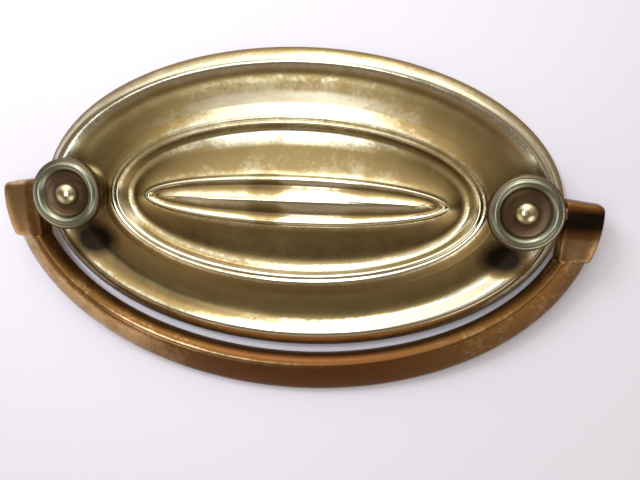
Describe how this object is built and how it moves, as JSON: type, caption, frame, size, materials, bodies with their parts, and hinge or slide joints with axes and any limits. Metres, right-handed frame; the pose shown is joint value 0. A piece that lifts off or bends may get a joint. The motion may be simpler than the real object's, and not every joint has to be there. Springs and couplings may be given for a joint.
{
  "type": "bail pull",
  "caption": "Oval pressed brass pull plate with nested raised ovals, round cup rosettes on posts and a crescent bail that swings on pins.",
  "frame": {"origin": "midway between the two fixing holes, in the plane of the plate's back", "axes": "+X along the plate's length through both posts, +Z out of the front, and the bail lies towards -Y at rest"},
  "size_m": [0.1022, 0.0609, 0.0103],
  "materials": {
    "plate_brass": "aged olive brass, rubbed bright on the ridges",
    "post_brass": "aged turned brass",
    "rosette_brass": "grey-green patinated brass",
    "cap_brass": "worn bright brass",
    "bail_brass": "aged red-brown brass, worn on the crest",
    "pin_brass": "plain drawn brass"
  },
  "bodies": {
    "root": {"backplate": "plate_brass", "post_left": "post_brass", "post_right": "post_brass", "rosette_left": "rosette_brass", "rosette_right": "rosette_brass", "cap_left": "cap_brass", "cap_right": "cap_brass"},
    "bail": {"bail": "bail_brass", "pin_left": "pin_brass", "pin_right": "pin_brass"}
  },
  "joints": [
    {"name": "bail_swing", "type": "hinge", "parent": "root", "child": "bail", "pos_m": [0, 0, 0.0052], "axis": [-1, 0, 0], "range_deg": [0, 192]}
  ]
}
